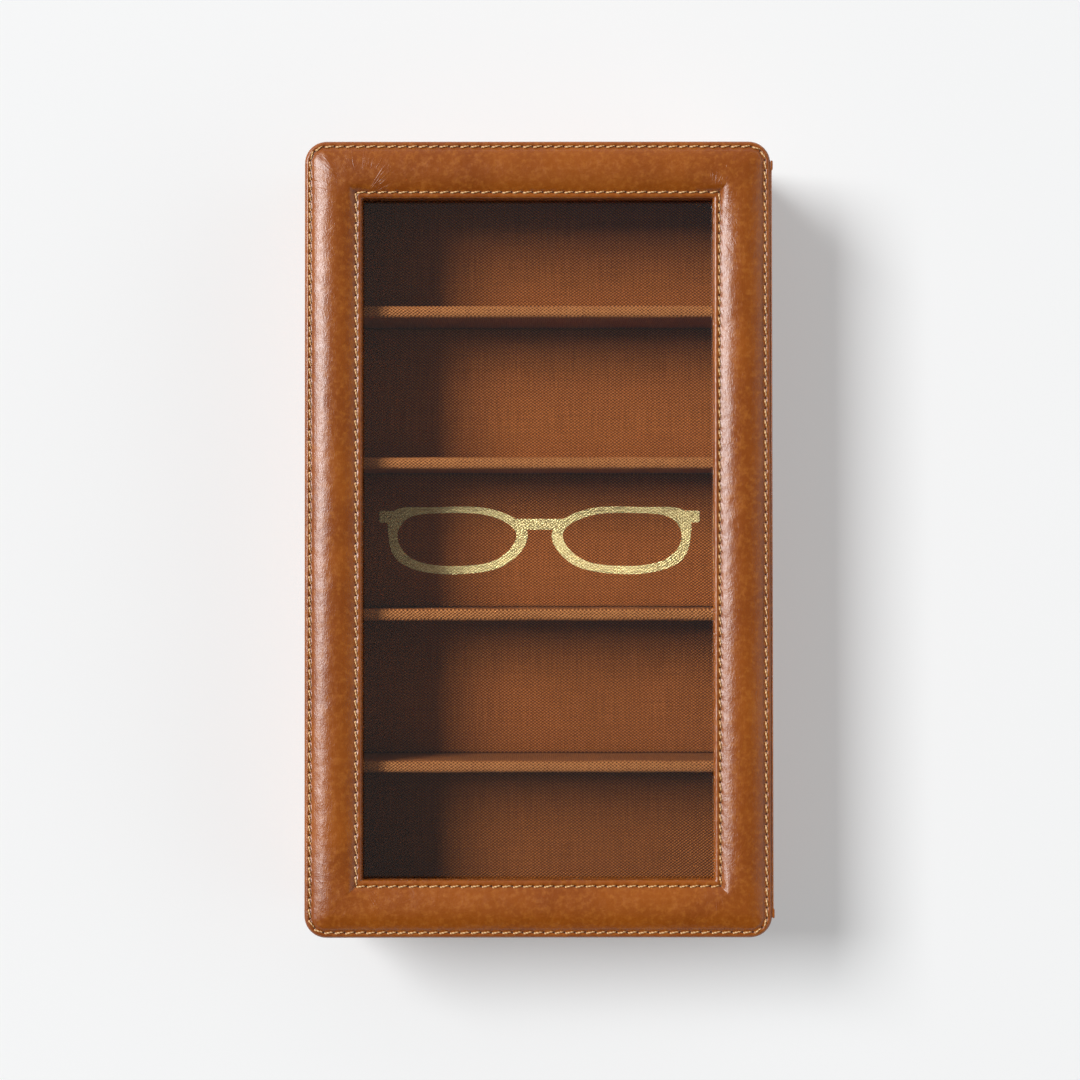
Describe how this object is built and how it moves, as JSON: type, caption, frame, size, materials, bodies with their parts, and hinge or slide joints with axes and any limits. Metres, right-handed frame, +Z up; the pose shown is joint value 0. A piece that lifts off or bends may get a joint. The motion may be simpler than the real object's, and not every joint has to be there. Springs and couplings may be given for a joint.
{
  "type": "eyewear organizer case",
  "caption": "Low leather-covered case with fabric-lined compartments for spectacles under a hinged lid, whose padded frame holds a clear window.",
  "frame": {"origin": "middle of the case's box, on the flat underside that it rests on", "axes": "+X from the opening edge towards the hinge, +Y along the case, +Z up"},
  "size_m": [0.2056, 0.348, 0.0611],
  "materials": {
    "cognac_leather": "glossy pull-up leather with fine creases",
    "woven_lining": "plain-weave cotton canvas, rust brown",
    "padding_foam": "soft foam strip, hidden",
    "suede": "short-nap suede",
    "gold_foil": "matt gold foil stamped on cloth",
    "clear_pane": "clear, polished",
    "magnet": "plated",
    "keeper_steel": "plain strip",
    "greyboard": "pressed card, hidden",
    "case_board": "fibreboard, hidden"
  },
  "bodies": {
    "base": {"base_leather": "cognac_leather", "base_magnets": "magnet", "bottom_board": "case_board", "divider_board_1": "case_board", "divider_board_2": "case_board", "divider_board_3": "case_board", "divider_board_4": "case_board", "divider_cover_1": "woven_lining", "divider_cover_2": "woven_lining", "divider_cover_3": "woven_lining", "divider_cover_4": "woven_lining", "floor_card_1": "greyboard", "floor_card_2": "greyboard", "floor_card_3": "greyboard", "floor_card_4": "greyboard", "floor_card_5": "greyboard", "floor_pad_1": "woven_lining", "floor_pad_2": "woven_lining", "floor_pad_3": "woven_lining", "floor_pad_4": "woven_lining", "floor_pad_5": "woven_lining", "foil_spectacles": "gold_foil", "front_lining": "woven_lining", "front_wall": "case_board", "left_end_lining": "woven_lining", "left_end_wall": "case_board", "rear_lining": "woven_lining", "rear_wall": "case_board", "right_end_lining": "woven_lining", "right_end_wall": "case_board", "spine_base_leaf": "cognac_leather", "underside_sheet": "suede"},
    "lid": {"lid_front_foam": "padding_foam", "lid_front_rail": "case_board", "lid_keepers": "keeper_steel", "lid_leather": "cognac_leather", "lid_left_end_foam": "padding_foam", "lid_left_end_rail": "case_board", "lid_lining": "woven_lining", "lid_rear_foam": "padding_foam", "lid_rear_rail": "case_board", "lid_right_end_foam": "padding_foam", "lid_right_end_rail": "case_board", "spine_lid_leaf": "cognac_leather", "window_pane": "clear_pane"}
  },
  "joints": [
    {"name": "lid_hinge", "type": "hinge", "parent": "base", "child": "lid", "pos_m": [0.1028, 0, 0.0486], "axis": [0, 1, 0], "range_deg": [0, 175]}
  ]
}
